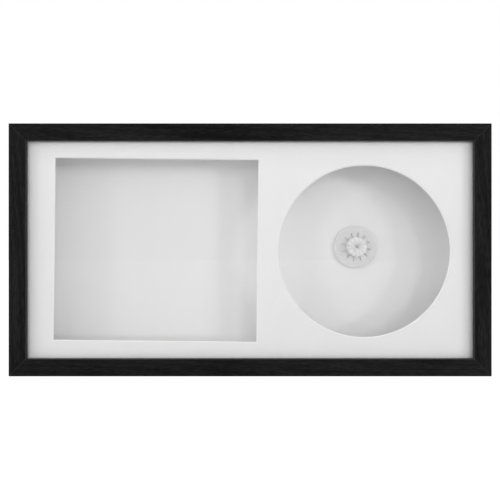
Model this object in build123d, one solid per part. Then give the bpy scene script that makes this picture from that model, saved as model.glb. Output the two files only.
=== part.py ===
from build123d import *
import os

# A deep, black-stained wood box frame that shows a compact disc case beside its disc.
# Millimetres. X runs to the right and Z up, and the front faces -Y.
# The origin is the middle of the foot of the overall box, bumpers and hangers included.

# Window mount
case_window_width = 142.0
case_window_height = 127.2
disc_window_radius = 60.0
disc_window_drop = 1.0
window_gap = 14.7
left_border = 17.1
right_border = 14.2
case_border = 11.4
case_window_tilt = 0.6
mount_thickness = 0.8
bevel_land = 0.15

# Rails
rail_face_width = 11.85
rebate_width = 4.0
lip_thickness = 2.5
outer_arris_radius = 0.25
sight_arris_radius = 0.4

# What the rebate holds, from the front to the back. The well is one space behind both windows.
glazing_thickness = 2.0
glazing_edge = 0.3
well_depth = 23.2
panel_thickness = 2.0
backing_thickness = 2.5
board_play = 0.2
board_clearance = 0.3
spacer_thickness = 5.0

# Sprung hub for the disc
hub_rise = 3.2
hub_base_radius = 16.0
hub_base_thickness = 1.2
hub_rim_rounding = 0.5
finger_count = 12
finger_turn = 20.0
finger_root_radius = 11.1
finger_thickness = 1.0
finger_slot_width = 1.1
neck_radius = 7.4
neck_height = 2.0
bead_radius = 7.6
bead_rise = 0.8
boss_height = 4.5
boss_crown_radius = 6.2
crown_dish_radius = 3.6
crown_dish_depth = 1.2
crown_slit_width = 0.3
crown_eye_radius = 0.9
pad_thickness = 1.0
pad_inset = 0.5

# V-shaped nails across the back of each mitre
nail_leg = 3.2
nail_thickness = 0.6
nail_length = 8.0
nail_sink = 0.3
nail_corner_share = 0.7

# Turn buttons and their screws
button_length = 19.0
button_width = 6.5
button_thickness = 1.0
button_edge = 0.2
button_gap = 0.1
button_pivot_clearance = 0.08
button_place_share = 0.25
screw_radius = 1.4
screw_length = 11.0
screw_point_length = 2.5
screw_head_radius = 2.6
screw_head_height = 1.3
screw_head_rounding = 0.5
screw_slot_width = 0.6
screw_slot_depth = 0.7
pilot_clearance = 0.03
pilot_spare_depth = 1.0

# Ring hangers riveted to the backing board
hanger_side_share = 0.32
hanger_height_share = 0.74
strap_width = 10.0
strap_length = 21.0
strap_thickness = 0.8
strap_corner = 2.5
ring_wire_radius = 0.9
ring_half_width = 7.0
ring_leg = 4.0
ring_bend = 1.6
ring_clearance = 0.08
rivet_radius = 1.5
rivet_distance = 15.6
rivet_head_radius = 2.9
rivet_head_height = 1.0
rivet_head_rounding = 0.5
rivet_collar_radius = 2.3
rivet_collar_height = 0.7
rivet_clearance = 0.03

# Bumpers on the lower corners of the back
bumper_radius = 3.5
bumper_height = 3.8
bumper_rounding = 1.2

# How far a cutting shape runs past what it cuts
overrun = 1.0

# Widths and heights that follow from the windows
sight_width = left_border + case_window_width + window_gap + 2 * disc_window_radius + right_border
sight_height = case_window_height + 2 * case_border
outer_width = sight_width + 2 * rail_face_width
outer_height = sight_height + 2 * rail_face_width
rail_wall = rail_face_width - rebate_width
rebate_across = outer_width - 2 * rail_wall
rebate_up = outer_height - 2 * rail_wall
board_width = rebate_across - 2 * board_clearance
board_height = rebate_up - 2 * board_clearance
middle_z = outer_height / 2
case_centre_x = -sight_width / 2 + left_border + case_window_width / 2
disc_centre_x = sight_width / 2 - right_border - disc_window_radius
disc_centre_z = middle_z - disc_window_drop
hub_centre_z = disc_centre_z + hub_rise

# Depths, from the front face back
frame_depth = (
    lip_thickness
    + glazing_thickness
    + mount_thickness
    + well_depth
    + panel_thickness
    + backing_thickness
    + board_play
)
eye_radius = ring_wire_radius + ring_clearance + strap_thickness
hanger_reach = 2 * eye_radius - board_play
overall_depth = frame_depth + max(bumper_height, hanger_reach)
front_y = -overall_depth / 2
glazing_y = front_y + lip_thickness
mount_y = glazing_y + glazing_thickness
well_y = mount_y + mount_thickness
panel_y = well_y + well_depth
backing_y = panel_y + panel_thickness
backing_face_y = backing_y + backing_thickness
back_y = front_y + frame_depth

# Places on the back
wall_middle = rail_wall / 2
button_x = outer_width * button_place_share
side_button_x = outer_width / 2 - wall_middle
hanger_x = outer_width * hanger_side_share
hanger_z = outer_height * hanger_height_share
hanger_y = backing_face_y + eye_radius
button_y = back_y + button_gap
button_places = {
    "turn_button_top_left": (-button_x, outer_height - wall_middle, -90),
    "turn_button_top_right": (button_x, outer_height - wall_middle, -90),
    "turn_button_bottom_left": (-button_x, wall_middle, 90),
    "turn_button_bottom_right": (button_x, wall_middle, 90),
    "turn_button_left": (-side_button_x, middle_z, 0),
    "turn_button_right": (side_button_x, middle_z, 180),
}
corner_signs = [(-1, -1), (-1, 1), (1, -1), (1, 1)]


def block(low, high):
    """A box between two opposite corners."""
    size = [b - a for a, b in zip(low, high)]
    return Pos(*low) * Box(*size, align=Align.MIN)


def plate(outline, near_y, far_y):
    """A flat outline in X and Z, made solid from near_y back to far_y."""
    return extrude(Plane.XZ.offset(-near_y) * outline, amount=near_y - far_y)


def facing_front(shape, x, y, z):
    """A shape drawn upwards on local XY, turned to stand out towards the front."""
    return Pos(x, y, z) * Rot(90, 0, 0) * shape


def facing_back(shape, x, y, z):
    """A shape drawn upwards on local XY, turned to stand out towards the back."""
    return Pos(x, y, z) * Rot(-90, 0, 0) * shape


def turned(*points):
    """A solid of revolution about Z, from its outline as radius and height."""
    return revolve(Plane.XZ * Polygon(*points, align=None), Axis.Z)


def post(radius, height):
    """A cylinder that stands on z = 0."""
    return Cylinder(radius, height, align=(Align.CENTER, Align.CENTER, Align.MIN))


def domed_post(radius, height, rounding):
    """A cylinder that stands on z = 0, its top edge rounded."""
    return fillet(post(radius, height).edges().sort_by(Axis.Z)[-1], rounding)


# Rails


def rail_section():
    """The rail's section in Y and Z: a wall with a lip, its long arrises eased."""
    section = Plane.YZ * Polygon(
        (front_y, 0),
        (back_y, 0),
        (back_y, rail_wall),
        (glazing_y, rail_wall),
        (glazing_y, rail_face_width),
        (front_y, rail_face_width),
        align=None,
    )
    section = fillet(section.vertices().group_by(Axis.Z)[0], outer_arris_radius)
    return fillet(section.vertices().group_by(Axis.Z)[-1], sight_arris_radius)


def rail(length):
    """One mitred rail, lying along X with its outer edge on z = 0."""
    bar = extrude(rail_section(), amount=length / 2, both=True)
    mitred = Polygon(
        (-length / 2, 0),
        (length / 2, 0),
        (length / 2 - rail_face_width, rail_face_width),
        (rail_face_width - length / 2, rail_face_width),
        align=None,
    )
    return bar & plate(mitred, front_y, back_y)


def corner_nail(sign_x, sign_z, near_y, far_y):
    """One V-shaped nail: its point is on the mitre, and each leg enters one rail."""
    apex = rail_wall * nail_corner_share
    tail = apex - nail_leg
    inner = apex - nail_thickness
    outline = Polygon(
        (tail, apex), (apex, apex), (apex, tail), (inner, tail), (inner, inner), (tail, inner), align=None
    )
    nail = plate(outline, near_y, far_y)
    if sign_x > 0:
        nail = mirror(nail, Plane.YZ)
    if sign_z > 0:
        nail = mirror(nail, Plane.XY)
    return Pos(sign_x * outer_width / 2, 0, middle_z + sign_z * outer_height / 2) * nail


def rail_cuts():
    """The nail slots and screw pilots that enter the rails from the back."""
    slot_start = back_y - nail_sink - nail_length
    cuts = [corner_nail(sx, sz, slot_start, back_y) for sx, sz in corner_signs]
    pilot_depth = screw_length + pilot_spare_depth
    pilot = post(screw_radius + pilot_clearance, pilot_depth)
    for x, z, turn in button_places.values():
        cuts.append(facing_back(pilot, x, back_y - pilot_depth, z))
    return cuts


def rails():
    """The four rails by name, cut for their nails and screws."""
    placed = {
        "bottom_rail": Pos(0, 0, 0) * rail(outer_width),
        "top_rail": Pos(0, 0, outer_height) * Rot(0, 180, 0) * rail(outer_width),
        "left_rail": Pos(-outer_width / 2, 0, middle_z) * Rot(0, 90, 0) * rail(outer_height),
        "right_rail": Pos(outer_width / 2, 0, middle_z) * Rot(0, -90, 0) * rail(outer_height),
    }
    for name in placed:
        for cut in rail_cuts():
            placed[name] -= cut
    return placed


def corner_nails():
    """Four nails, sunk just under the back of the rails."""
    far_y = back_y - nail_sink
    nails = [corner_nail(sx, sz, far_y - nail_length, far_y) for sx, sz in corner_signs]
    return Compound(children=nails)


# Boards in the rebate


def board(near_y, thickness):
    """A flat board that fills the rebate but for its clearance."""
    outline = Pos(0, middle_z) * Rectangle(board_width, board_height)
    return plate(outline, near_y, near_y + thickness)


def glazing():
    """The sheet behind the lip, its edges taken off."""
    sheet = board(glazing_y, glazing_thickness)
    return chamfer(sheet.edges().filter_by(Axis.Y), glazing_edge)


def window_mount():
    """The mount board, with a square-cornered and a round window, both bevelled from the front."""
    mount = board(mount_y, mount_thickness)
    case_hole = Rot(0, 0, -case_window_tilt) * Rectangle(case_window_width, case_window_height)
    case_hole = Pos(case_centre_x, middle_z) * case_hole
    disc_hole = Pos(disc_centre_x, disc_centre_z) * Circle(disc_window_radius)
    for hole in (case_hole, disc_hole):
        mount -= plate(hole, mount_y - overrun, well_y + overrun)
    front = mount.faces().sort_by(Axis.Y)[0]
    return chamfer(front.inner_wires().edges(), mount_thickness - bevel_land)


def spacers():
    """Four slips round the rebate, which keep the mount off the panel."""
    half_width = board_width / 2
    low_z = middle_z - board_height / 2
    high_z = middle_z + board_height / 2
    inner_low = low_z + spacer_thickness
    inner_high = high_z - spacer_thickness
    inner_x = half_width - spacer_thickness
    return {
        "bottom_spacer": block((-half_width, well_y, low_z), (half_width, panel_y, inner_low)),
        "top_spacer": block((-half_width, well_y, inner_high), (half_width, panel_y, high_z)),
        "left_spacer": block((-half_width, well_y, inner_low), (-inner_x, panel_y, inner_high)),
        "right_spacer": block((inner_x, well_y, inner_low), (half_width, panel_y, inner_high)),
    }


def backing_board():
    """The rear board, with a counterbored hole for each hanger's rivet."""
    rear = board(backing_y, backing_thickness)
    hole = post(rivet_radius + rivet_clearance, backing_thickness)
    counterbore = post(rivet_collar_radius + rivet_clearance, rivet_collar_height)
    for side in (-1, 1):
        place = (side * hanger_x, backing_y, hanger_z - rivet_distance)
        rear -= facing_back(hole, *place)
        rear -= facing_back(counterbore, *place)
    return rear


# Disc hub


def hub_body():
    """The hub before its slots are cut: a thin base and a hollow boss with a dished crown."""
    top = hub_base_thickness + boss_height
    neck_top = hub_base_thickness + neck_height
    bead_z = neck_top + bead_rise
    hollow_radius = neck_radius - finger_thickness
    body = turned(
        (0, 0),
        (hub_base_radius, 0),
        (hub_base_radius, hub_base_thickness),
        (neck_radius, hub_base_thickness),
        (neck_radius, neck_top),
        (bead_radius, bead_z),
        (boss_crown_radius, top),
        (crown_dish_radius, top),
        (0, top - crown_dish_depth),
    )
    rim = body.edges().filter_by(GeomType.CIRCLE).filter_by(lambda e: e.radius > finger_root_radius)
    body = fillet(rim.sort_by(Axis.Z)[-1], hub_rim_rounding)
    hollow = turned(
        (0, 0),
        (hollow_radius, 0),
        (hollow_radius, bead_z - finger_thickness),
        (boss_crown_radius - finger_thickness, top - finger_thickness),
        (crown_dish_radius, top - finger_thickness),
        (0, top - crown_dish_depth - finger_thickness),
    )
    return body - hollow


def disc_hub():
    """Twelve sprung fingers that rise from one base and meet over the boss."""
    hub = hub_body()
    top = hub_base_thickness + boss_height
    slit = Box(
        bead_radius + overrun, crown_slit_width, top + overrun, align=(Align.MIN, Align.CENTER, Align.MIN)
    )
    root_centre = finger_root_radius - finger_slot_width / 2
    slot_outline = Rectangle(
        root_centre - bead_radius, finger_slot_width, align=(Align.MIN, Align.CENTER)
    )
    slot_outline = Pos(bead_radius, 0) * slot_outline + Pos(root_centre, 0) * Circle(finger_slot_width / 2)
    slot = extrude(slot_outline, amount=top)
    for k in range(finger_count):
        turn = Rot(0, 0, finger_turn + k * 360 / finger_count)
        hub -= turn * slit
        hub -= turn * slot
    hub -= Cylinder(crown_eye_radius, 2 * (top + overrun))
    return facing_front(hub, disc_centre_x, panel_y - pad_thickness, hub_centre_z)


def hub_pad():
    """The round adhesive foam pad that holds the hub on the panel."""
    pad = post(hub_base_radius - pad_inset, pad_thickness)
    return facing_front(pad, disc_centre_x, panel_y, hub_centre_z)


# Fixings on the back


def turn_button():
    """A flat steel button, its pivot at the origin and its tip along X."""
    end_radius = button_width / 2
    reach = button_length - button_width
    outline = Rectangle(reach, button_width, align=(Align.MIN, Align.CENTER))
    outline += Circle(end_radius)
    outline += Pos(reach, 0) * Circle(end_radius)
    outline -= Circle(screw_radius + button_pivot_clearance)
    button = extrude(outline, amount=button_thickness)
    rims = [button.faces().sort_by(Axis.Z)[k].outer_wire().edges() for k in (0, -1)]
    return chamfer(rims[0] + rims[1], button_edge)


def turn_buttons():
    """Six buttons on the back of the rails, each pointing inwards over the board."""
    return {
        name: Pos(x, button_y, z) * Rot(0, -turn, 0) * Rot(-90, 0, 0) * turn_button()
        for name, (x, z, turn) in button_places.items()
    }


def button_screw():
    """A pan-head screw with a cross slot, its point down and the rail's back on z = 0."""
    head_z = button_thickness + 2 * button_gap
    shank = turned(
        (0, head_z),
        (screw_radius, head_z),
        (screw_radius, screw_point_length - screw_length),
        (0, -screw_length),
    )
    head = domed_post(screw_head_radius, screw_head_height, screw_head_rounding)
    slot_length = 2 * (screw_head_radius - screw_head_rounding)
    slot = Box(slot_length, screw_slot_width, 2 * screw_slot_depth)
    head -= Pos(0, 0, screw_head_height) * slot
    head -= Pos(0, 0, screw_head_height) * Rot(0, 0, 90) * slot
    return shank + Pos(0, 0, head_z) * head


def turn_button_screws():
    """The six screws that the buttons turn on."""
    screws = [facing_back(button_screw(), x, back_y, z) for x, z, turn in button_places.values()]
    return Compound(children=screws)


def hanger_strap(side):
    """A steel strap with a rolled eye at its top and a rivet hole below."""
    strap_outline = Pos(0, -strap_length) * Rectangle(
        strap_width, strap_length, align=(Align.CENTER, Align.MIN)
    )
    strap_outline = fillet(strap_outline.vertices().group_by(Axis.Y)[0], strap_corner)
    strap_outline -= Pos(0, -rivet_distance) * Circle(rivet_radius + rivet_clearance)
    strap = plate(strap_outline, -eye_radius, strap_thickness - eye_radius)
    strap += Rot(0, 90, 0) * Cylinder(eye_radius, strap_width)
    strap -= Rot(0, 90, 0) * Cylinder(ring_wire_radius + ring_clearance, strap_width + overrun)
    return Pos(side * hanger_x, hanger_y, hanger_z) * strap


def hanging_ring(side):
    """A D-shaped wire ring: its straight bar lies in the eye and its bow hangs down."""
    bar = Line((-ring_half_width, 0), (ring_half_width, 0))
    right_leg = Line((ring_half_width, 0), (ring_half_width, -ring_leg))
    bow = RadiusArc((ring_half_width, -ring_leg), (-ring_half_width, -ring_leg), ring_half_width)
    left_leg = Line((-ring_half_width, -ring_leg), (-ring_half_width, 0))
    loop = Wire([bar, right_leg, bow, left_leg])
    corners = loop.vertices().group_by(Axis.Y)[-1]
    path = Plane.XZ * loop.fillet_2d(ring_bend, corners)
    section = Plane(origin=(0, 0, 0), z_dir=(1, 0, 0)) * Circle(ring_wire_radius)
    ring = sweep(section, path=path)
    return Pos(side * hanger_x, hanger_y, hanger_z) * ring


def hanger_rivet():
    """A rivet through strap and board, clinched in the board's counterbore."""
    head_z = backing_thickness + strap_thickness
    body = post(rivet_radius, head_z) + post(rivet_collar_radius, rivet_collar_height)
    return body + Pos(0, 0, head_z) * domed_post(rivet_head_radius, rivet_head_height, rivet_head_rounding)


def hanger_rivets():
    """One rivet for each hanger."""
    rivet_z = hanger_z - rivet_distance
    rivets = [facing_back(hanger_rivet(), side * hanger_x, backing_y, rivet_z) for side in (-1, 1)]
    return Compound(children=rivets)


def bumpers():
    """Two rubber bumpers on the lower corners of the back."""
    pad = domed_post(bumper_radius, bumper_height, bumper_rounding)
    pads = [facing_back(pad, side * side_button_x, back_y, wall_middle) for side in (-1, 1)]
    return Compound(children=pads)


parts = {
    **rails(),
    "corner_nails": corner_nails(),
    "glazing": glazing(),
    "window_mount": window_mount(),
    **spacers(),
    "display_panel": board(panel_y, panel_thickness),
    "hub_pad": hub_pad(),
    "disc_hub": disc_hub(),
    "backing_board": backing_board(),
    **turn_buttons(),
    "turn_button_screws": turn_button_screws(),
    "left_hanger_strap": hanger_strap(-1),
    "right_hanger_strap": hanger_strap(1),
    "left_hanging_ring": hanging_ring(-1),
    "right_hanging_ring": hanging_ring(1),
    "hanger_rivets": hanger_rivets(),
    "bumpers": bumpers(),
}

os.makedirs("parts", exist_ok=True)
for name, shape in parts.items():
    export_step(shape, f"parts/{name}.step")
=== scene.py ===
import bpy
import bmesh
import math
from mathutils import Matrix, Vector


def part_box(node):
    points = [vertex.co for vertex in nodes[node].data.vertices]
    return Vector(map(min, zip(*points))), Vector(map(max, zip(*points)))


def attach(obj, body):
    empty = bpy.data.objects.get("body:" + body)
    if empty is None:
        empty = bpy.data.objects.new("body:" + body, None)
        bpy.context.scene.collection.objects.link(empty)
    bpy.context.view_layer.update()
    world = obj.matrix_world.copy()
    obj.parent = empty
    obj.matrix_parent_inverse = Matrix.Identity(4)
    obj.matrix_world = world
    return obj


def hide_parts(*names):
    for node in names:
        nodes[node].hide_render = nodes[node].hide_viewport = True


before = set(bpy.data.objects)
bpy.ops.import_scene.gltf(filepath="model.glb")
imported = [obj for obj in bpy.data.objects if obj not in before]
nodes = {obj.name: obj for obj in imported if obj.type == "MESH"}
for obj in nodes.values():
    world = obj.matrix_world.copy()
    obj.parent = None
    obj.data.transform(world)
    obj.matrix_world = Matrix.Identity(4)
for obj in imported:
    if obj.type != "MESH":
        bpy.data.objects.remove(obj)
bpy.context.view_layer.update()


# Rails
# Four lengths of ash with a plain lip, planed, stained black, mitred and glued at the corners.
# The stain lies thin on the hard rings and sinks into the open pores, so fine darker
# and paler streaks run along each rail.


def linear(hex_colour):
    """A colour written as sRGB hex, as the linear values that Blender takes."""
    shares = [int(hex_colour[i : i + 2], 16) / 255 for i in (1, 3, 5)]
    curve = [c / 12.92 if c <= 0.04045 else ((c + 0.055) / 1.055) ** 2.4 for c in shares]
    return (*curve, 1.0)


def new_material(name):
    """An empty node material, and its tree."""
    material = bpy.data.materials.new(name)
    material.use_nodes = True
    material.node_tree.nodes.clear()
    return material, material.node_tree


def add(tree, kind, inputs=(), **settings):
    """Adds a node. An input is a plain value, or the socket of another node that feeds it."""
    made = tree.nodes.new("ShaderNode" + kind)
    for name, value in settings.items():
        setattr(made, name, value)
    for name, value in dict(inputs).items():
        if isinstance(value, bpy.types.NodeSocket):
            tree.links.new(value, made.inputs[name])
        else:
            made.inputs[name].default_value = value
    return made


def noise(tree, place, size, detail=2.0, roughness=0.5):
    """Soft noise, with features about so large."""
    inputs = {"Vector": place, "Scale": 1 / size, "Detail": detail, "Roughness": roughness}
    return add(tree, "TexNoise", inputs).outputs[0]


def ranged(tree, value, low=0.0, high=1.0, to_low=0.0, to_high=1.0):
    """A value's range spread over another range, and held there."""
    ends = {"Value": value, "From Min": low, "From Max": high, "To Min": to_low, "To Max": to_high}
    return add(tree, "MapRange", ends).outputs[0]


def worked(tree, operation, *values):
    """The result of one, two or three values."""
    return add(tree, "Math", enumerate(values), operation=operation).outputs[0]


def mixed(tree, share, first, second):
    """A colour that gives way to a second one by a share."""
    return add(tree, "Mix", {0: share, 6: first, 7: second}, data_type="RGBA").outputs[2]


def relief(tree, height, strength, depth):
    """Fine relief for a shader, from a pattern's height."""
    return add(tree, "Bump", {"Height": height, "Strength": strength, "Distance": depth}).outputs[0]


def surface(tree, colour, roughness, bump, more=()):
    """Ends a material with a shader of this colour, roughness and relief."""
    inputs = {"Base Color": colour, "Roughness": roughness, "Normal": bump, **dict(more)}
    shader = add(tree, "BsdfPrincipled", inputs).outputs[0]
    add(tree, "OutputMaterial", {0: shader})


def dress(piece, material):
    """Gives a piece its only material."""
    piece.data.materials.clear()
    piece.data.materials.append(material)


def draw(name, points, filled=True):
    """An outline drawn point by point, filled or left as a line, and left in edit mode."""
    bpy.ops.object.select_all(action="DESELECT")
    bpy.ops.mesh.primitive_plane_add(size=mm, location=points[0])
    drawn = bpy.context.object
    drawn.name = name
    bpy.ops.object.transform_apply(location=True)
    bpy.ops.object.mode_set(mode="EDIT")
    bpy.ops.mesh.merge(type="CENTER")
    for here, there in zip(points, points[1:]):
        extrude(there - here)
    bpy.ops.mesh.select_all(action="SELECT")
    if filled:
        bpy.ops.mesh.edge_face_add()
    return drawn


def extrude(step):
    """Extrudes what is selected by a step."""
    bpy.ops.mesh.extrude_region_move(TRANSFORM_OT_translate={"value": step})


def pick(test):
    """Selects only the vertices whose place passes a test, with the edges and faces among them."""
    bpy.ops.mesh.select_mode(type="VERT")
    bpy.ops.mesh.select_all(action="DESELECT")
    shape = bmesh.from_edit_mesh(bpy.context.edit_object.data)
    for vertex in shape.verts:
        vertex.select = test(vertex.co)
    shape.select_flush(True)
    bmesh.update_edit_mesh(bpy.context.edit_object.data)


def round_corner(place, rounding, segments=3):
    """Rounds the corner of an outline that is drawn but not yet extruded."""
    pick(lambda spot: (spot - place).length < hair)
    bpy.ops.mesh.bevel(offset=rounding, segments=segments, affect="VERTICES")


def slice_off(place, kept_side, closed=True):
    """Cuts a shape by a plane and keeps the side that the vector points to."""
    bpy.ops.mesh.select_all(action="SELECT")
    bpy.ops.mesh.bisect(
        plane_co=place, plane_no=kept_side, use_fill=closed, clear_inner=True, threshold=hair / 10
    )


def select_only(*pieces):
    """Selects these pieces alone, the first of them active."""
    bpy.ops.object.select_all(action="DESELECT")
    for piece in pieces:
        piece.select_set(True)
    bpy.context.view_layer.objects.active = pieces[0]


def finish(piece, easing=0.0, smooth_degrees=35):
    """Turns the faces outwards, leaves edit mode, eases sharp edges and smooths round parts."""
    if piece.mode == "OBJECT":
        select_only(piece)
        bpy.ops.object.mode_set(mode="EDIT")
    bpy.ops.mesh.select_all(action="SELECT")
    bpy.ops.mesh.remove_doubles(threshold=hair / 10)
    bpy.ops.mesh.normals_make_consistent(inside=False)
    bpy.ops.object.mode_set(mode="OBJECT")
    select_only(piece)
    if easing:
        eased = piece.modifiers.new("eased_edges", "BEVEL")
        eased.width = easing
        eased.segments = 2
        eased.limit_method = "ANGLE"
        eased.angle_limit = math.radians(sharp_degrees)
        bpy.ops.object.modifier_apply(modifier=eased.name)
    bpy.ops.object.shade_smooth_by_angle(angle=math.radians(smooth_degrees))
    return piece


def copy_of(piece, name, centre, degrees=0.0, move=(0, 0, 0)):
    """A copy with a mesh of its own, turned about a line along Y and then moved."""
    select_only(piece)
    bpy.ops.object.duplicate()
    twin = bpy.context.object
    twin.name = name
    turn = Matrix.Rotation(math.radians(degrees), 4, "Y")
    there, back = Matrix.Translation(centre + Vector(move)), Matrix.Translation(-centre)
    twin.matrix_world = there @ turn @ back
    bpy.ops.object.transform_apply(location=True, rotation=True, scale=True)
    return twin


mm = 0.001
hair = 0.01 * mm
across, upright, deep = Vector((1, 0, 0)), Vector((0, 0, 1)), Vector((0, 1, 0))
rail_low, rail_high = (Vector(corner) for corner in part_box("bottom_rail"))
front_y, back_y = rail_low.y, rail_high.y
outer_width = rail_high.x - rail_low.x
outer_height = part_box("top_rail")[1][2]
middle_z = outer_height / 2
frame_middle = upright * middle_z
rail_face = 11.85 * mm
rail_wall = 7.85 * mm
lip_thickness = 2.5 * mm
outer_arris = 0.25 * mm
sight_arris = 0.4 * mm
rebate_arris = 0.2 * mm
sharp_degrees = 50
mitre_line = 0.1 * mm
mitre_fade = 0.3 * mm
# The band of painted highlight on the lip's inner face, and its soft edge.
lip_highlight_line = 0.1 * mm
lip_highlight_fade = 0.35 * mm
pore_size = (0.6 * mm, 6 * mm)
arch_size = (9 * mm, 150 * mm)
stain_cloud_size = (14 * mm, 60 * mm)
fleck_size = (0.7 * mm, 2.4 * mm)
tone_range = (0.3, 2.6)
open_pore = (0.36, 0.62)
arch_band = (0.1, 0.8)
stain_cloud = (0.3, 0.7)
bare_fleck = (0.74, 0.8)
stain_roughness = (0.62, 0.46)
stain_gloss = 0.08
grain_relief = (0.6, 0.15 * mm)


def mitred_rail(name, corner, along, inwards, length):
    """A rail that starts at an outer corner of the frame, cut at 45 degrees at both its ends."""
    section = [
        (0, front_y, outer_arris),
        (rail_face, front_y, sight_arris),
        (rail_face, front_y + lip_thickness, sight_arris),
        (rail_wall, front_y + lip_thickness, 0),
        (rail_wall, back_y, rebate_arris),
        (0, back_y, outer_arris),
    ]
    outline = [corner + inwards * inset + deep * depth for inset, depth, rounding in section]
    rail = draw(name, outline)
    for place, (inset, depth, rounding) in zip(outline, section):
        if rounding:
            round_corner(place, rounding, segments=4)
    bpy.ops.mesh.select_all(action="SELECT")
    extrude(along * length)
    slice_off(corner, along - inwards)
    slice_off(corner + along * length, -along - inwards)
    return finish(rail)


def stained_ash(name, along):
    """Black-stained ash. Its grain runs along one axis of the frame.

    Its pores are drawn about twice as wide as they are, or they wouldn't show from here.
    """
    material, tree = new_material(name)
    place = add(tree, "TexCoord").outputs["Object"]

    def stretched(wide, long):
        """Places for a pattern that is so wide across the grain, and so long along it."""
        scale = [1 / wide] * 3
        scale[along] = 1 / long
        return add(tree, "Mapping", {"Vector": place, "Scale": scale}).outputs[0]

    pores = noise(tree, stretched(*pore_size), size=1.0, detail=3.0, roughness=0.65)
    arches = add(
        tree,
        "TexWave",
        {
            "Vector": stretched(*arch_size),
            "Scale": 1.1,
            "Distortion": 9.0,
            "Detail": 2.0,
            "Detail Scale": 0.8,
        },
        bands_direction="DIAGONAL",
    ).outputs[1]
    clouds = noise(tree, stretched(*stain_cloud_size), size=1.0)
    flecks = noise(tree, stretched(*fleck_size), size=1.0)
    open_pores = ranged(tree, pores, *open_pore)
    arched = worked(tree, "MULTIPLY", open_pores, ranged(tree, arches, *arch_band))
    streaks = worked(tree, "ADD", open_pores, arched)
    tone = worked(tree, "ADD", streaks, ranged(tree, clouds, *stain_cloud))
    stain = mixed(tree, ranged(tree, tone, *tone_range), linear("#040404"), linear("#1E1E1E"))
    wood = mixed(tree, ranged(tree, flecks, *bare_fleck), stain, linear("#333333"))

    # The stain has rubbed thin along the mitres. The lip's inner face is painted paler: a painted
    # highlight where that face catches the light.
    spot = add(tree, "SeparateXYZ", {0: place}).outputs
    up = worked(tree, "ABSOLUTE", worked(tree, "SUBTRACT", spot[2], middle_z))
    out = worked(tree, "ABSOLUTE", spot[0])
    lean = worked(tree, "SUBTRACT", up, out)
    off_mitre = worked(tree, "ABSOLUTE", worked(tree, "ADD", lean, outer_width / 2 - middle_z))
    at_mitre = ranged(tree, off_mitre, mitre_fade, mitre_line)
    wood = mixed(tree, at_mitre, wood, linear("#2E2E2E"))
    off_centre = up if along == 0 else out
    half_opening = (middle_z if along == 0 else outer_width / 2) - rail_face
    painted_lip_highlight = ranged(tree, off_centre, half_opening + lip_highlight_fade, half_opening + lip_highlight_line)
    wood = mixed(tree, painted_lip_highlight, wood, linear("#383838"))

    rough = ranged(tree, tone, *tone_range, *stain_roughness)
    bump = relief(tree, streaks, *grain_relief)
    surface(tree, wood, rough, bump, {"Specular IOR Level": stain_gloss})
    return material


across_ash = stained_ash("black_stained_ash_across", 0)
upright_ash = stained_ash("black_stained_ash_upright", 2)
low_left = across * -outer_width / 2
top_left = low_left + upright * outer_height
bottom_rail = mitred_rail("ash_bottom_rail", low_left, across, upright, outer_width)
left_rail = mitred_rail("ash_left_rail", top_left, -upright, across, outer_height)
rails = {
    "bottom_rail": (bottom_rail, across_ash),
    "top_rail": (copy_of(bottom_rail, "ash_top_rail", frame_middle, 180), across_ash),
    "left_rail": (left_rail, upright_ash),
    "right_rail": (copy_of(left_rail, "ash_right_rail", frame_middle, 180), upright_ash),
}
for node, (rail, ash) in rails.items():
    dress(rail, ash)
    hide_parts(node)
    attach(rail, "frame")


# Corner nails
# V-shaped strips of blued steel, driven across each mitre from the back and set just under it.
# The bluing leaves them a dark, slightly cloudy grey.


def shaded(tree, colour, share):
    """A colour made darker or paler by a share."""
    return add(tree, "HueSaturation", {"Color": colour, "Value": share}).outputs[0]


def struck_metal(name, colour, roughness, cloud_size):
    """Sheet or wire metal with a fine, cloudy finish."""
    material, tree = new_material(name)
    place = add(tree, "TexCoord").outputs["Object"]
    cloud = noise(tree, place, cloud_size, detail=4.0)
    fine = noise(tree, place, metal_grit)
    rough = ranged(tree, cloud, *metal_cloud, roughness - polished, roughness + dulled)
    tint = shaded(tree, linear(colour), ranged(tree, cloud, 0.0, 1.0, *metal_shades))
    surface(tree, tint, rough, relief(tree, fine, *metal_relief), {"Metallic": 1.0})
    return material


metal_grit = 0.25 * mm
metal_cloud = (0.3, 0.7)
metal_shades = (0.86, 1.1)
metal_relief = (0.15, 0.03 * mm)
polished = 0.1
dulled = 0.12
blued_steel = struck_metal("blued_strip_steel", "#6E7278", roughness=0.4, cloud_size=2 * mm)
dress(nodes["corner_nails"], blued_steel)


# Glazing
# A sheet of clear picture glass, 2 mm thick, which lies against the back of the lip.
# It lets the lamps through and only shows as a faint gloss.

sheen_straight = 0.05
sheen_grazing = 0.9
grazing_power = 5.0
glass, tree = new_material("picture_glass")
gloss = add(tree, "BsdfGlossy", {"Color": (1, 1, 1, 1), "Roughness": 0.02}).outputs[0]
clear = add(tree, "BsdfTransparent", {"Color": linear("#FEFEFE")}).outputs[0]
facing = add(tree, "LayerWeight", {"Blend": 0.5}).outputs["Facing"]
grazing = worked(tree, "POWER", facing, grazing_power)
sheen = ranged(tree, grazing, 0.0, 1.0, sheen_straight, sheen_grazing)
add(tree, "OutputMaterial", {0: add(tree, "MixShader", {0: sheen, 1: clear, 2: gloss}).outputs[0]})
dress(nodes["glazing"], glass)


# Window mount
# White cotton mount board, 0.8 mm thick. Both windows are cut from the front on a 45 degree
# bevel, which bares the board's brighter core, and end in a fine square edge at the back.


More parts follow.
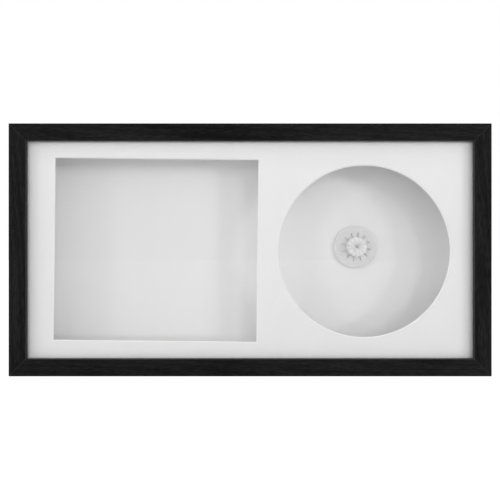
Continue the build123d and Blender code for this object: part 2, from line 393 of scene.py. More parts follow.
def coated_board(name, colour, tooth):
    """White board with a faint mottle, and paper's tooth, drawn as coarse as it needs to show."""
    material, tree = new_material(name)
    place = add(tree, "TexCoord").outputs["Object"]
    cloud = noise(tree, place, board_mottle, detail=4.0)
    fibre = noise(tree, place, paper_fibre, detail=3.0)
    tint = shaded(tree, linear(colour), ranged(tree, cloud, 0.0, 1.0, *board_shades))
    bump = relief(tree, fibre, tooth, tooth_depth)
    surface(tree, tint, board_roughness, bump, {"Specular IOR Level": board_gloss})
    return material


def carve(piece, tool, operation="DIFFERENCE"):
    """Cuts a piece by a tool shape, or joins the shape to it, and takes the tool away."""
    carved = piece.modifiers.new("carved", "BOOLEAN")
    carved.operation = operation
    carved.solver = "EXACT"
    carved.object = tool
    select_only(piece)
    bpy.ops.object.modifier_apply(modifier=carved.name)
    bpy.data.objects.remove(tool)


mount_low, mount_high = (Vector(corner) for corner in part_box("window_mount"))
mount_size = mount_high - mount_low
case_window_width = 142.0 * mm
case_window_height = 127.2 * mm
case_window_tilt = 0.6
disc_window_radius = 60.0 * mm
left_border = 17.1 * mm
right_border = 14.2 * mm
disc_window_drop = 1.0 * mm
bevel_depth = 0.65 * mm
cut_overrun = 0.35 * mm
circle_steps = 192
face_share = 0.95
board_mottle = 9 * mm
board_shades = (0.985, 1.0)
board_roughness = 0.85
board_gloss = 0.2
paper_fibre = 0.35 * mm
tooth_depth = 0.03 * mm
sight_half_width = outer_width / 2 - rail_face
case_centre = frame_middle + across * (left_border + case_window_width / 2 - sight_half_width)
disc_centre = frame_middle + across * (sight_half_width - right_border - disc_window_radius)
disc_centre -= upright * disc_window_drop
mount = draw(
    "cotton_window_mount",
    [
        Vector((x, mount_low.y, z))
        for x, z in (
            (mount_low.x, mount_low.z),
            (mount_high.x, mount_low.z),
            (mount_high.x, mount_high.z),
            (mount_low.x, mount_high.z),
        )
    ],
)
extrude(deep * mount_size.y)
finish(mount)


def cut_window(outline, centre, half_width, half_height, tilt=0.0):
    """Cuts a window: square through the back of the board, then opening out to its face."""
    behind = centre + deep * (mount_high.y + cut_overrun)
    tool = draw("window_cut", [behind + spot for spot in outline])
    extrude(deep * (mount_low.y + bevel_depth - mount_high.y - cut_overrun))
    extrude(deep * -(bevel_depth + cut_overrun))
    spread = bevel_depth + cut_overrun
    bpy.ops.transform.resize(
        value=(1 + spread / half_width, 1, 1 + spread / half_height), center_override=centre
    )
    finish(tool)
    turned = copy_of(tool, "turned_window_cut", centre, tilt)
    bpy.data.objects.remove(tool)
    carve(mount, turned)


case_half_width, case_half_height = case_window_width / 2, case_window_height / 2
case_corners = [(-1, -1), (1, -1), (1, 1), (-1, 1)]
case_outline = [
    across * side * case_half_width + upright * level * case_half_height
    for side, level in case_corners
]
disc_turns = [2 * math.pi * step / circle_steps for step in range(circle_steps)]
disc_outline = [
    (across * math.cos(turn) + upright * math.sin(turn)) * disc_window_radius for turn in disc_turns
]
cut_window(case_outline, case_centre, case_half_width, case_half_height, case_window_tilt)
cut_window(disc_outline, disc_centre, disc_window_radius, disc_window_radius)
finish(mount)
mount_face = coated_board("cotton_mount_board", "#F0F0F0", tooth=0.6)
mount_core = coated_board("cut_cotton_core", "#F6F6F6", tooth=0.9)
dress(mount, mount_face)
mount.data.materials.append(mount_core)
for polygon in mount.data.polygons:
    polygon.material_index = int(abs(polygon.normal.y) < face_share)
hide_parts("window_mount")
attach(mount, "frame")


# Spacers
# Slips laid up from white foam board, which hold the mount off the panel. Their cut edges
# show the paper faces of each layer as fine lines.

foam_layer = 4.64 * mm
foam_cell = 0.3 * mm
foam_relief = (0.3, 0.05 * mm)
foam_roughness = 0.9
paper_edge = (0.45, 0.48)
foam_board, tree = new_material("laid_up_foam_board")
place = add(tree, "TexCoord").outputs["Object"]
depth = add(tree, "SeparateXYZ", {0: place}).outputs[1]
layers = worked(tree, "MULTIPLY", depth, 1 / foam_layer)
off_middle = worked(tree, "SUBTRACT", worked(tree, "FRACT", layers), 0.5)
paper = ranged(tree, worked(tree, "ABSOLUTE", off_middle), *paper_edge)
cells = add(tree, "TexVoronoi", {"Vector": place, "Scale": 1 / foam_cell}).outputs[0]
tone = mixed(tree, paper, linear("#F1F1F0"), linear("#DADAD8"))
surface(tree, tone, foam_roughness, relief(tree, cells, *foam_relief))
for name in ("top_spacer", "bottom_spacer", "left_spacer", "right_spacer"):
    dress(nodes[name], foam_board)


# Display panel
# White board, cut square and laid across the back of the well, against the spacers. It carries
# the hub, and its matt face takes the windows' soft shadows.

panel_board = coated_board("panel_board", "#EFEFEF", tooth=0.4)
dress(nodes["display_panel"], panel_board)


# Hub pad
# A disc punched from white acrylic foam tape, which holds the hub on the panel. Its cut edge
# shows the foam's fine cells.

tape_cell = 0.2 * mm
tape_relief = (0.6, 0.05 * mm)
tape_roughness = 0.8
foam_tape, tree = new_material("acrylic_foam_tape")
place = add(tree, "TexCoord").outputs["Object"]
cells = noise(tree, place, tape_cell, detail=3.0)
surface(tree, linear("#F2F2F0"), tape_roughness, relief(tree, cells, *tape_relief))
dress(nodes["hub_pad"], foam_tape)


# Disc hub
# One moulding of white, slightly clouded styrene. Twelve fingers rise from a thin base and
# curl in over a dished crown, so that they spring in when a disc is pressed over the bead.


def join(name, pieces):
    """Makes one piece of several."""
    select_only(*pieces)
    bpy.ops.object.join()
    pieces[0].name = name
    return pieces[0]


hub_low, hub_high = (Vector(corner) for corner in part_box("disc_hub"))
hub_centre = (hub_low + hub_high) / 2
hub_centre.y = hub_high.y
hub_radius = (hub_high.x - hub_low.x) / 2
hub_height = hub_high.y - hub_low.y
hub_plate = 1.2 * mm
hub_rim_rounding = 0.6 * mm
hub_neck = 7.4 * mm
hub_neck_top = 3.2 * mm
hub_neck_rounding = 0.3 * mm
hub_bead = 7.6 * mm
hub_bead_top = 4.0 * mm
hub_bead_rounding = 0.4 * mm
hub_crown = 6.2 * mm
hub_crown_rounding = 0.8 * mm
hub_dish = 3.8 * mm
hub_dish_depth = 1.1 * mm
hub_eye = 0.52 * mm
finger_wall = 1.0 * mm
finger_count = 12
finger_steps = 8
finger_easing = 0.02 * mm
first_slit = math.radians(20)
slit_width = 0.22 * mm
slot_width = 1.1 * mm
slot_end = 10.55 * mm
slot_start = 7.8 * mm
slot_shoulder = 0.1 * mm
one_finger = 2 * math.pi / finger_count
slot_steps = 4
slot_turns = [math.pi / 2 * step / slot_steps for step in range(slot_steps + 1)]
slot_spots = [(slot_start - slot_shoulder, slit_width / 2), (slot_start, slot_width / 2)]
slot_spots += [
    (slot_end + slot_width / 2 * math.sin(turn), slot_width / 2 * math.cos(turn))
    for turn in slot_turns
]


def hub_point(radius, height):
    """A place on the hub at its first slit, by its radius and its height off the underside."""
    outwards = across * math.cos(first_slit) + upright * math.sin(first_slit)
    return hub_centre + outwards * radius - deep * height


hub_outline = [(hub_radius, 0, 0), (hub_radius, hub_plate, hub_rim_rounding)]
hub_outline += [(radius, hub_plate, 0) for radius, half_width in reversed(slot_spots)]
hub_outline += [
    (hub_neck, hub_plate, 0),
    (hub_neck, hub_neck_top, hub_neck_rounding),
    (hub_bead, hub_bead_top, hub_bead_rounding),
    (hub_crown, hub_height, hub_crown_rounding),
    (hub_dish, hub_height, hub_crown_rounding),
    (hub_eye, hub_height - hub_dish_depth, 0),
    (hub_eye, hub_height - hub_dish_depth - finger_wall, 0),
    (hub_dish, hub_height - finger_wall, 0),
    (hub_crown - finger_wall, hub_height - finger_wall, 0),
    (hub_neck - finger_wall, hub_bead_top - finger_wall, 0),
    (hub_neck - finger_wall, 0, 0),
]
hub_outline += [(radius, 0, 0) for radius, half_width in slot_spots]
sector = draw("hub_sector", [hub_point(radius, height) for radius, height, rounding in hub_outline])
for radius, height, rounding in hub_outline:
    if rounding:
        round_corner(hub_point(radius, height), rounding)
bpy.ops.mesh.select_all(action="SELECT")
bpy.ops.mesh.spin(steps=finger_steps, angle=one_finger, center=hub_centre, axis=deep)
for turn, side in ((first_slit, 1), (first_slit + one_finger, -1)):
    outwards = across * math.cos(turn) + upright * math.sin(turn)
    inwards = side * (upright * math.cos(turn) - across * math.sin(turn))

    def near(spot, radius, half_width):
        """Whether a place lies at a radius on this side, so far from the middle of its slit."""
        offset = spot - hub_centre
        off_radius = abs(offset.dot(outwards) - radius)
        return off_radius < slot_shoulder / 3 and abs(offset.dot(inwards) - half_width) < hair

    slice_off(hub_centre + inwards * slit_width / 2, inwards, closed=False)
    last_radius = slot_spots[-1][0]
    pick(
        lambda spot: (spot - hub_centre).dot(inwards) < slit_width / 2 + hair
        and (spot - hub_centre).dot(outwards) > last_radius - slot_shoulder / 3
    )
    bpy.ops.transform.translate(value=-inwards * slit_width / 2)
    for radius, half_width in slot_spots[1:-1]:
        pick(lambda spot: near(spot, radius, slit_width / 2))
        bpy.ops.transform.translate(value=inwards * (half_width - slit_width / 2))
    for here, there in zip(slot_spots, slot_spots[1:]):
        pick(lambda spot: near(spot, *here) or near(spot, *there))
        bpy.ops.mesh.edge_face_add()
    pick(
        lambda spot: abs((spot - hub_centre).dot(inwards) - slit_width / 2) < hair
        and (spot - hub_centre).dot(outwards) < slot_start - slot_shoulder / 2
    )
    bpy.ops.mesh.edge_face_add()
bpy.ops.object.mode_set(mode="OBJECT")
sectors = [sector]
for step in range(1, finger_count):
    turned = step * math.degrees(one_finger)
    sectors.append(copy_of(sector, f"hub_sector_{step}", hub_centre, turned))
hub = join("styrene_disc_hub", sectors)
finish(hub, finger_easing, smooth_degrees=40)

styrene_cloud = 4 * mm
styrene_shades = (0.96, 1.02)
styrene_roughness = (0.3, 0.48)
styrene_grit = 0.3 * mm
styrene_relief = (0.1, 0.02 * mm)
styrene, tree = new_material("moulded_white_styrene")
place = add(tree, "TexCoord").outputs["Object"]
cloud = noise(tree, place, styrene_cloud)
grit = noise(tree, place, styrene_grit)
rough = ranged(tree, cloud, 0.0, 1.0, *styrene_roughness)
# The base is painted darker than the fingers and crown: painted shade for the lower base, which
# takes less light.
depth = add(tree, "SeparateXYZ", {0: place}).outputs[1]
clear_of_painted_shade = ranged(tree, depth, hub_high.y - hub_plate, hub_high.y - 2 * hub_plate)
white = mixed(tree, clear_of_painted_shade, linear("#E2E2E2"), linear("#F9F9F9"))
tint = shaded(tree, white, ranged(tree, cloud, 0.0, 1.0, *styrene_shades))
glow = {
    "Subsurface Weight": 0.7,
    "Subsurface Radius": (1, 1, 1),
    "Subsurface Scale": 2.0 * mm,
}
surface(tree, tint, rough, relief(tree, grit, *styrene_relief), glow)
dress(hub, styrene)
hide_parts("disc_hub")
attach(hub, "frame")


# Backing board
# A sheet of brown hardboard, smooth side out, with the flecks of its pressed fibre. The turn
# buttons have rubbed pale arcs where they swing over it. Each button's place is given with the
# turn that points it inwards.

turned_reach = (12.0 * mm, 15.6 * mm)
board_fleck = (3.2 * mm, 1.0 * mm)
fleck_edge = (0.66, 0.74)
pressed_fibre = 1.1 * mm
fibre_tones = (0.4, 0.9)
fibre_relief = (0.4, 0.1 * mm)
board_cloud = 25 * mm
board_cloud_share = 0.3
hardboard_roughness = (0.45, 0.7)
scratch_size = 0.5 * mm
scratch_edge = (0.45, 0.7)
scratch_share = 0.55
button_x = outer_width / 4
side_button_x = outer_width / 2 - rail_wall / 2
high_button_z = outer_height - rail_wall / 2
low_button_z = rail_wall / 2
button_places = {
    "left": (-side_button_x, middle_z, 0),
    "right": (side_button_x, middle_z, 180),
    "top_left": (-button_x, high_button_z, 90),
    "top_right": (button_x, high_button_z, 90),
    "bottom_left": (-button_x, low_button_z, -90),
    "bottom_right": (button_x, low_button_z, -90),
}
hardboard, tree = new_material("pressed_hardboard")
place = add(tree, "TexCoord").outputs["Object"]
fibre = noise(tree, place, pressed_fibre, detail=6.0, roughness=0.65)
cloud = noise(tree, place, board_cloud, detail=3.0)
scratch = noise(tree, place, scratch_size)
fleck_scale = (1 / board_fleck[0], 1, 1 / board_fleck[1])
long_way = add(tree, "Mapping", {"Vector": place, "Scale": fleck_scale}).outputs[0]
fleck = add(
    tree, "TexNoise", {"Vector": long_way, "Scale": 1.0, "Detail": 2.0, "Distortion": 2.5}
).outputs[0]
blend = worked(tree, "MULTIPLY_ADD", cloud, board_cloud_share, fibre)
brown = mixed(tree, ranged(tree, blend, *fibre_tones), linear("#63452F"), linear("#916C4B"))
brown = mixed(tree, ranged(tree, fleck, *fleck_edge), brown, linear("#4A3222"))
flat = add(tree, "VectorMath", {0: place, 1: (1, 0, 1)}, operation="MULTIPLY").outputs[0]
rubbed = 0.0
for x, z, swing in button_places.values():
    reach = add(tree, "VectorMath", {0: flat, 1: (x, 0, z)}, operation="DISTANCE").outputs["Value"]
    arc = worked(tree, "PINGPONG", ranged(tree, reach, *turned_reach), 1.0)
    within = worked(tree, "LESS_THAN", reach, turned_reach[1])
    rubbed = worked(tree, "MAXIMUM", worked(tree, "MULTIPLY", arc, within), rubbed)
marks = ranged(tree, scratch, *scratch_edge, 0.0, scratch_share)
brown = mixed(tree, worked(tree, "MULTIPLY", rubbed, marks), brown, linear("#B8926B"))
rough = ranged(tree, cloud, 0.0, 1.0, *hardboard_roughness)
surface(tree, brown, rough, relief(tree, fibre, *fibre_relief))
dress(nodes["backing_board"], hardboard)


# Turn buttons
# Six flat buttons of zinc-plated steel, blanked with rounded ends and pressed with a stiffening
# rib and a raised boss round the pivot. Each turns on its own screw in the back of a rail.


def stadium(centre, reach, radius, steps=12):
    """An outline with two round ends: one about the centre, the other further along X."""
    turns = [math.pi * (0.5 + step / steps) for step in range(steps + 1)]
    arc = [(across * math.cos(turn) + upright * math.sin(turn)) * radius for turn in turns]
    far = centre + across * reach
    return [centre + spot for spot in arc] + [far - spot for spot in arc]


def punch(piece, centre, radius, depth):
    """Punches a round hole right through a piece, along Y."""
    bpy.ops.mesh.primitive_cylinder_add(
        vertices=40, radius=radius, depth=depth, location=centre, rotation=(math.pi / 2, 0, 0)
    )
    bpy.ops.object.transform_apply(location=True, rotation=True)
    carve(piece, bpy.context.object)


button_low, button_high = (Vector(corner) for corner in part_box("turn_button_right"))
button_radius = (button_high.z - button_low.z) / 2
button_reach = button_high.x - button_low.x - 2 * button_radius
button_depth = button_high.y - button_low.y
button_plate = 0.72 * mm
press_start = 0.1 * mm
press_share = 0.82
boss_radius = 3.05 * mm
rib_radius = 1.15 * mm
rib_start = 5.2 * mm
rib_reach = 7.0 * mm
pivot_radius = 1.48 * mm
steel_easing = 0.12 * mm
master_pivot = Vector((-side_button_x, button_low.y, middle_z))
button = draw("turn_button_blank", stadium(master_pivot, button_reach, button_radius))
extrude(deep * button_plate)
finish(button)
press_base = master_pivot + deep * (button_plate - press_start)
pressings = (
    (press_base + across * rib_start, rib_reach, rib_radius),
    (press_base, hair, boss_radius),
)
for base, reach, radius in pressings:
    pressing = draw("pressing", stadium(base, reach, radius))
    rise = button_depth - button_plate + press_start
    extrude(deep * rise)
    middle = base + across * reach / 2
    shrink = 1 - (1 - press_share) * rib_radius / radius
    slim = 1 - (1 - press_share) * rib_radius / (radius + reach / 2)
    bpy.ops.transform.resize(value=(slim, 1, shrink), center_override=middle)
    finish(pressing)
    carve(button, pressing, "UNION")
punch(button, master_pivot, pivot_radius, 4 * button_depth)
finish(button, steel_easing)
zinc_steel = struck_metal("zinc_plated_steel", "#A8ADB2", roughness=0.33, cloud_size=1.5 * mm)
dress(button, zinc_steel)
for name, (x, z, swing) in button_places.items():
    step = Vector((x, button_low.y, z)) - master_pivot
    placed = copy_of(button, f"pressed_button_{name}", master_pivot, swing, step)
    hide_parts(f"turn_button_{name}")
    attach(placed, f"{name}_button")
bpy.data.objects.remove(button)


# Turn button screws
# Zinc-plated pan-head screws with a pressed cross recess and a rolled thread, driven into the
# back of the rails. Each stopped at a turn of its own.


def lathe(name, centre, outline, steps=40):
    """A shape turned about a line along Y, from its outline as radius, depth and rounding."""
    places = [centre + across * radius + deep * depth for radius, depth, rounding in outline]
    shape = draw(name, places, filled=False)
    for place, (radius, depth, rounding) in zip(places, outline):
        if rounding:
            round_corner(place, rounding, segments=4)
    bpy.ops.mesh.select_all(action="SELECT")
    bpy.ops.mesh.spin(steps=steps, angle=2 * math.pi, center=centre, axis=deep)
    return finish(shape)


head_base = 1.2 * mm
head_height = 1.3 * mm
head_radius = 2.6 * mm
head_crown_radius = 0.75 * head_radius
head_crown_height = 0.92 * head_height
head_side_height = 0.35 * head_height
shank_radius = 1.4 * mm
shank_length = 11.0 * mm
point_length = 2.5 * mm
thread_pitch = 1.1 * mm
thread_depth = 0.35 * mm
recess_reach = 3.0 * mm
recess_width = 0.62 * mm
recess_depth = 0.85 * mm
recess_floor_shares = (0.35, 1, 0.6)
head_rounding = 0.5 * mm
head_side_rounding = 0.4 * mm
head_edge = 0.1 * mm
screw_easing = 0.03 * mm
screw_turn_step = 17
screw_centre = Vector((button_places["left"][0], back_y, button_places["left"][1]))
core_radius = shank_radius - thread_depth
thread = []
depth = -head_base
while depth > point_length - shank_length:
    thread.append((shank_radius, depth, 0))
    thread.append((core_radius, depth - thread_pitch / 2, 0))
    depth -= thread_pitch
screw_outline = [
    (0, head_base + head_height, 0),
    (head_crown_radius, head_base + head_crown_height, head_rounding),
    (head_radius, head_base + head_side_height, head_side_rounding),
    (head_radius, head_base, head_edge),
    (shank_radius, head_base, 0),
    *thread,
    (0, -shank_length, 0),
]
screw = lathe("pan_head_screw", screw_centre, screw_outline)
for degrees in (45, 135):
    head_top = screw_centre + deep * (head_base + head_height + hair)
    corners = [(-recess_reach, -recess_width), (recess_reach, -recess_width)]
    corners += [(recess_reach, recess_width), (-recess_reach, recess_width)]
    wedge = draw("recess", [head_top + across * x / 2 + upright * z / 2 for x, z in corners])
    extrude(-deep * recess_depth)
    bpy.ops.transform.resize(value=recess_floor_shares, center_override=head_top)
    finish(wedge)
    turned = copy_of(wedge, "turned_recess", screw_centre, degrees)
    bpy.data.objects.remove(wedge)
    carve(screw, turned)
finish(screw, screw_easing)
dress(screw, zinc_steel)
screws = []
for number, (name, (x, z, swing)) in enumerate(button_places.items()):
    step = Vector((x, back_y, z)) - screw_centre
    screws.append(copy_of(screw, f"screw_{name}", screw_centre, screw_turn_step * number, step))
bpy.data.objects.remove(screw)
screws = join("pan_head_screws", screws)
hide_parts("turn_button_screws")
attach(screws, "frame")


# Hanger straps
# Zinc-plated steel straps, each rolled into an eye round the bar of its ring, punched for a
# rivet near the foot and pressed with a short rib. They lie flat on the backing board.

strap_low, strap_high = (Vector(corner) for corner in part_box("left_hanger_strap"))
eye_radius = 1.78 * mm
strap_thickness = 0.8 * mm
strap_corner = 2.5 * mm
strap_length = 21.0 * mm
rivet_drop = 15.6 * mm
rivet_hole = 1.53 * mm
strap_easing = 0.1 * mm
strap_rib_drop = 9.5 * mm
strap_rib_reach = 5.5 * mm
strap_rib_radius = 1.3 * mm
strap_rib_rise = 0.35 * mm
strap_rib_shares = (0.9, 1, 0.7)
eye_steps = 40
eye_roll = 295
strap_centre = (strap_low + strap_high) / 2
strap_width = strap_high.x - strap_low.x
eye_centre = Vector((strap_centre.x, strap_low.y + eye_radius, strap_high.z - eye_radius))
roll = [math.radians(180 - eye_roll * step / eye_steps) for step in range(eye_steps + 1)]


def eye_point(radius, turn):
    """A place on the rolled eye, at the strap's left side."""
    spot = deep * math.cos(turn) + upright * math.sin(turn)
    return eye_centre - across * strap_width / 2 + spot * radius


foot = -upright * strap_length
strap_outline = [eye_point(eye_radius, math.pi) + foot]
strap_outline += [eye_point(eye_radius, turn) for turn in roll]
strap_outline += [eye_point(eye_radius - strap_thickness, turn) for turn in reversed(roll)]
strap_outline += [eye_point(eye_radius - strap_thickness, math.pi) + foot]
strap = draw("rolled_strap_left", strap_outline)
extrude(across * strap_width)
for side in (-1, 1):
    pick(
        lambda spot: spot.z < eye_centre.z - strap_length + hair
        and (spot.x - eye_centre.x) * side > strap_width / 2 - hair
    )
    bpy.ops.mesh.bevel(offset=strap_corner, segments=8, affect="EDGES")
finish(strap)
rib_low = eye_centre - upright * strap_rib_drop
rib_low.y = strap_low.y + strap_thickness - press_start
rib = draw("pressed_rib", stadium(rib_low, strap_rib_reach, strap_rib_radius))
extrude(deep * (press_start + strap_rib_rise))
rib_middle = rib_low + across * strap_rib_reach / 2
bpy.ops.transform.resize(value=strap_rib_shares, center_override=rib_middle)
finish(rib)
upright_rib = copy_of(rib, "upright_rib", rib_low, -90)
bpy.data.objects.remove(rib)
carve(strap, upright_rib, "UNION")
punch(strap, eye_centre - upright * rivet_drop, rivet_hole, 8 * strap_thickness)
finish(strap, strap_easing)
dress(strap, zinc_steel)
to_right = across * -2 * eye_centre.x
straps = {"left": strap, "right": copy_of(strap, "rolled_strap_right", eye_centre, move=to_right)}
for side, piece in straps.items():
    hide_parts(f"{side}_hanger_strap")
    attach(piece, "frame")


# Hanging rings
# D-shaped rings bent from 1.8 mm nickel-plated wire, warmer and glossier than the zinc. The wire's
# two ends butt in the straight bar, which turns in the strap's eye.

wire_radius = 0.9 * mm
ring_half_width = 7.0 * mm
ring_leg = 4.0 * mm
ring_bend = 1.6 * mm
butt_gap = 0.1 * mm
bar_run = ring_half_width - ring_bend - butt_gap
wire_sides = 20
bend_steps = 8
bow_steps = 40
wire_turns = [2 * math.pi * step / wire_sides for step in range(wire_sides)]
wire_section = [
    (deep * math.cos(turn) + upright * math.sin(turn)) * wire_radius for turn in wire_turns
]
ring = draw("wire_ring_left", [eye_centre + across * butt_gap + spot for spot in wire_section])
right_bend = eye_centre + across * (ring_half_width - ring_bend) - upright * ring_bend
left_bend = right_bend - across * 2 * (ring_half_width - ring_bend)
bow_centre = eye_centre - upright * ring_leg
extrude(across * bar_run)
bpy.ops.mesh.spin(steps=bend_steps, angle=math.pi / 2, center=right_bend, axis=-deep)
extrude(upright * (ring_bend - ring_leg))
bpy.ops.mesh.spin(steps=bow_steps, angle=math.pi, center=bow_centre, axis=-deep)
extrude(upright * (ring_leg - ring_bend))
bpy.ops.mesh.spin(steps=bend_steps, angle=math.pi / 2, center=left_bend, axis=-deep)
extrude(across * bar_run)
finish(ring)
nickel_wire = struck_metal("nickel_plated_wire", "#B2B0AA", roughness=0.24, cloud_size=1 * mm)
dress(ring, nickel_wire)
rings = {"left": ring, "right": copy_of(ring, "wire_ring_right", eye_centre, move=to_right)}
for side, piece in rings.items():
    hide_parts(f"{side}_hanging_ring")
    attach(piece, f"{side}_ring")


# Hanger rivets
# Domed aluminium rivets, which hold the straps on the backing board. They are pulled up from
# inside, and leave their broken stem in the head.

rivet_face = 0.8 * mm
rivet_head_radius = 2.9 * mm
rivet_head_height = 1.0 * mm
rivet_radius = 1.5 * mm
rivet_collar_radius = 2.3 * mm
rivet_collar = 0.7 * mm
stem_radius = 0.75 * mm
stem_drop = 0.45 * mm
stem_dome = 0.1 * mm
stem_dome_radius = 0.7 * stem_radius
rivet_crown_radius = 0.55 * rivet_head_radius
rivet_side_radius = 0.95 * rivet_head_radius
rivet_side_height = 0.35 * rivet_head_height
stem_rounding = 0.1 * mm
rivet_crown_rounding = 0.5 * mm
rivet_edge_rounding = 0.2 * mm
board_low, board_high = (Vector(corner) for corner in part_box("backing_board"))
rivet_centre = Vector((eye_centre.x, board_high.y, eye_centre.z - rivet_drop))
board_thickness = board_high.y - board_low.y
rivet_top = rivet_face + rivet_head_height
rivet_outline = [
    (0, rivet_top - stem_drop + stem_dome, 0),
    (stem_dome_radius, rivet_top - stem_drop, 0),
    (stem_radius, rivet_top - stem_drop, 0),
    (stem_radius, rivet_top, stem_rounding),
    (rivet_crown_radius, rivet_top, rivet_crown_rounding),
    (rivet_side_radius, rivet_face + rivet_side_height, rivet_edge_rounding),
    (rivet_head_radius, rivet_face, 0),
    (rivet_radius, rivet_face, 0),
    (rivet_radius, rivet_collar - board_thickness, 0),
    (rivet_collar_radius, rivet_collar - board_thickness, rivet_edge_rounding),
    (rivet_collar_radius, -board_thickness, 0),
    (0, -board_thickness, 0),
]
rivet = lathe("pulled_rivet", rivet_centre, rivet_outline)
rivet_aluminium = struck_metal("pulled_aluminium", "#C4C6C8", roughness=0.36, cloud_size=0.8 * mm)
dress(rivet, rivet_aluminium)
right_rivet = copy_of(rivet, "pulled_rivet_right", rivet_centre, move=to_right)
rivets = join("pulled_rivets", [rivet, right_rivet])
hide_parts("hanger_rivets")
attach(rivets, "frame")


# Bumpers
# Moulded black rubber buttons, stuck to the lower corners of the back, slightly dished on top.
# The rubber is matt, with a faint grey bloom.

bumper_low, bumper_high = (Vector(corner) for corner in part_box("bumpers"))
bumper_height = bumper_high.y - bumper_low.y
bumper_radius = 3.5 * mm
bumper_flat = 2.3 * mm
bumper_dish = 0.25 * mm
bumper_dish_radius = 0.55 * bumper_flat
bumper_lip_radius = 0.75 * bumper_flat
bumper_side_radius = 0.96 * bumper_radius
bumper_side_height = 0.6 * bumper_height
bumper_foot_radius = 0.97 * bumper_radius
bumper_foot_height = 0.12 * bumper_height
bumper_dish_rounding = 0.3 * mm
bumper_lip_rounding = 0.15 * mm
bumper_edge_rounding = 0.3 * mm
bumper_side_rounding = 0.6 * mm
bumper_foot_rounding = 0.2 * mm
bumper_centre = Vector((bumper_low.x + bumper_radius, bumper_low.y, rail_wall / 2))
bumper_outline = [
    (0, bumper_height - bumper_dish, 0),
    (bumper_dish_radius, bumper_height - bumper_dish, bumper_dish_rounding),
    (bumper_lip_radius, bumper_height, bumper_lip_rounding),
    (bumper_flat, bumper_height, bumper_edge_rounding),
    (bumper_side_radius, bumper_side_height, bumper_side_rounding),
    (bumper_radius, bumper_foot_height, bumper_foot_rounding),
    (bumper_foot_radius, 0, 0),
    (0, 0, 0),
]
bumper = lathe("rubber_bumper", bumper_centre, bumper_outline)
bloom_size = 1 * mm
bloom_edge = (0.5, 0.75)
rubber_roughness = (0.55, 0.8)
rubber_relief = (0.2, 0.05 * mm)
rubber, tree = new_material("moulded_black_rubber")
place = add(tree, "TexCoord").outputs["Object"]
bloom = noise(tree, place, bloom_size, detail=3.0)
tint = mixed(tree, ranged(tree, bloom, *bloom_edge), linear("#191919"), linear("#2E2D2B"))
rough = ranged(tree, bloom, 0.0, 1.0, *rubber_roughness)
surface(tree, tint, rough, relief(tree, bloom, *rubber_relief))
dress(bumper, rubber)
other_corner = across * -2 * bumper_centre.x
right_bumper = copy_of(bumper, "bumper_right", bumper_centre, move=other_corner)
bumpers = join("rubber_bumpers", [bumper, right_bumper])
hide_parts("bumpers")
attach(bumpers, "frame")


# Floor
# A pale, matt sweep that the frame stands on. It reads white to the camera, but for the frame's
# soft shadow, and lights the frame as pale paint would.


def seen_or_lit(tree, shown, lit):
    """One shader for the rays that show a thing, and another for the rays that it lights by."""
    rays = add(tree, "LightPath").outputs
    seen = worked(tree, "MAXIMUM", rays["Is Camera Ray"], rays["Is Glossy Ray"])
    seen = worked(tree, "MAXIMUM", seen, rays["Is Transmission Ray"])
    return add(tree, "MixShader", {0: seen, 1: lit, 2: shown}).outputs[0]


floor_half = 3.0
floor_drop = 0.05 * mm
floor_share = 0.68
shadow_share = 0.3
floor_glow = 0.85
bpy.ops.mesh.primitive_plane_add(size=2 * floor_half, location=(0, 0, -floor_drop))
floor = bpy.context.object
floor.name = "floor"
bpy.ops.object.transform_apply(location=True)
paint, tree = new_material("pale_floor")
matt = add(tree, "BsdfDiffuse", {"Color": (*[floor_share] * 3, 1)}).outputs[0]
shadow = add(tree, "BsdfDiffuse", {"Color": (*[shadow_share] * 3, 1)}).outputs[0]
glow = add(tree, "Emission", {"Strength": floor_glow}).outputs[0]
shown = add(tree, "AddShader", {0: shadow, 1: glow}).outputs[0]
add(tree, "OutputMaterial", {0: seen_or_lit(tree, shown, matt)})
dress(floor, paint)


# Light
# Soft lamps far off, to both sides and above, in a pale room. They light the frame, and don't
# show as reflections in the glazing or on the rails.


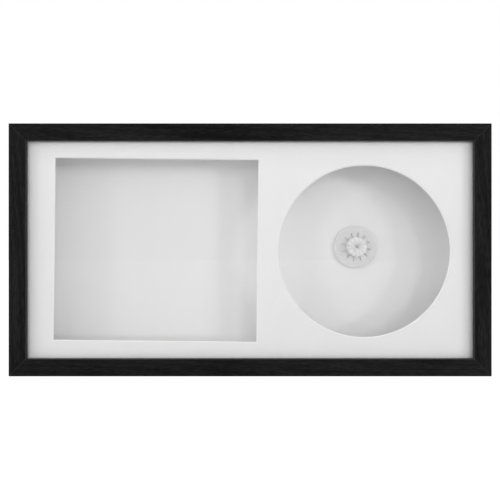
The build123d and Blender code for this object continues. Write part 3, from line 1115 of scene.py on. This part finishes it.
def far_lamp(name, turn, lean, strength):
    """A soft lamp, turned round the frame from its right and leaned off the camera's line."""
    lamp = bpy.data.lights.new(name, "SUN")
    lamp.angle = math.radians(lamp_degrees)
    lamp.energy = strength
    box = bpy.data.objects.new(name, lamp)
    box.visible_glossy = False
    bpy.context.collection.objects.link(box)
    turn, lean = math.radians(turn), math.radians(lean)
    out = math.sin(lean)
    towards = Vector((out * math.cos(turn), -math.cos(lean), out * math.sin(turn)))
    box.rotation_euler = towards.to_track_quat("Z", "Y").to_euler()


lamp_degrees = 12
room_strength = 0.8
far_lamp("right_lamp", turn=0, lean=53, strength=0.85)
far_lamp("near_right_lamp", turn=30, lean=28, strength=0.26)
far_lamp("left_lamp", turn=180, lean=53, strength=0.43)
far_lamp("raking_left_lamp", turn=180, lean=75, strength=0.94)
far_lamp("raking_top_lamp", turn=120, lean=75, strength=0.42)

world = bpy.data.worlds.new("pale_room")
bpy.context.scene.world = world
world.use_nodes = True
tree = world.node_tree
tree.nodes.clear()
room = add(tree, "Background", {"Color": (1, 1, 1, 1), "Strength": room_strength}).outputs[0]
white = add(tree, "Background", {"Color": (1, 1, 1, 1), "Strength": 1.0}).outputs[0]
add(tree, "OutputWorld", {0: seen_or_lit(tree, white, room)})


# Camera
# Straight in front of the frame's middle and close to it, as the photograph was taken. Its focal
# length is given in pixels of a 500 pixel picture.

camera_distance = 258 * mm
camera_shift = 0.1 * mm
focal_pixels = 376.0
image_pixels = 500.0
sensor_width = 36.0
nearest = 0.01
shooter = bpy.data.cameras.new("camera")
shooter.sensor_fit = "HORIZONTAL"
shooter.sensor_width = sensor_width
shooter.lens = shooter.sensor_width * focal_pixels / image_pixels
shooter.clip_start = nearest
eye = bpy.data.objects.new("camera", shooter)
bpy.context.collection.objects.link(eye)
eye.location = (-camera_shift, front_y - camera_distance, middle_z - camera_shift)
eye.rotation_euler = (math.pi / 2, 0, 0)
bpy.context.scene.camera = eye
bpy.context.scene.view_settings.view_transform = "Standard"
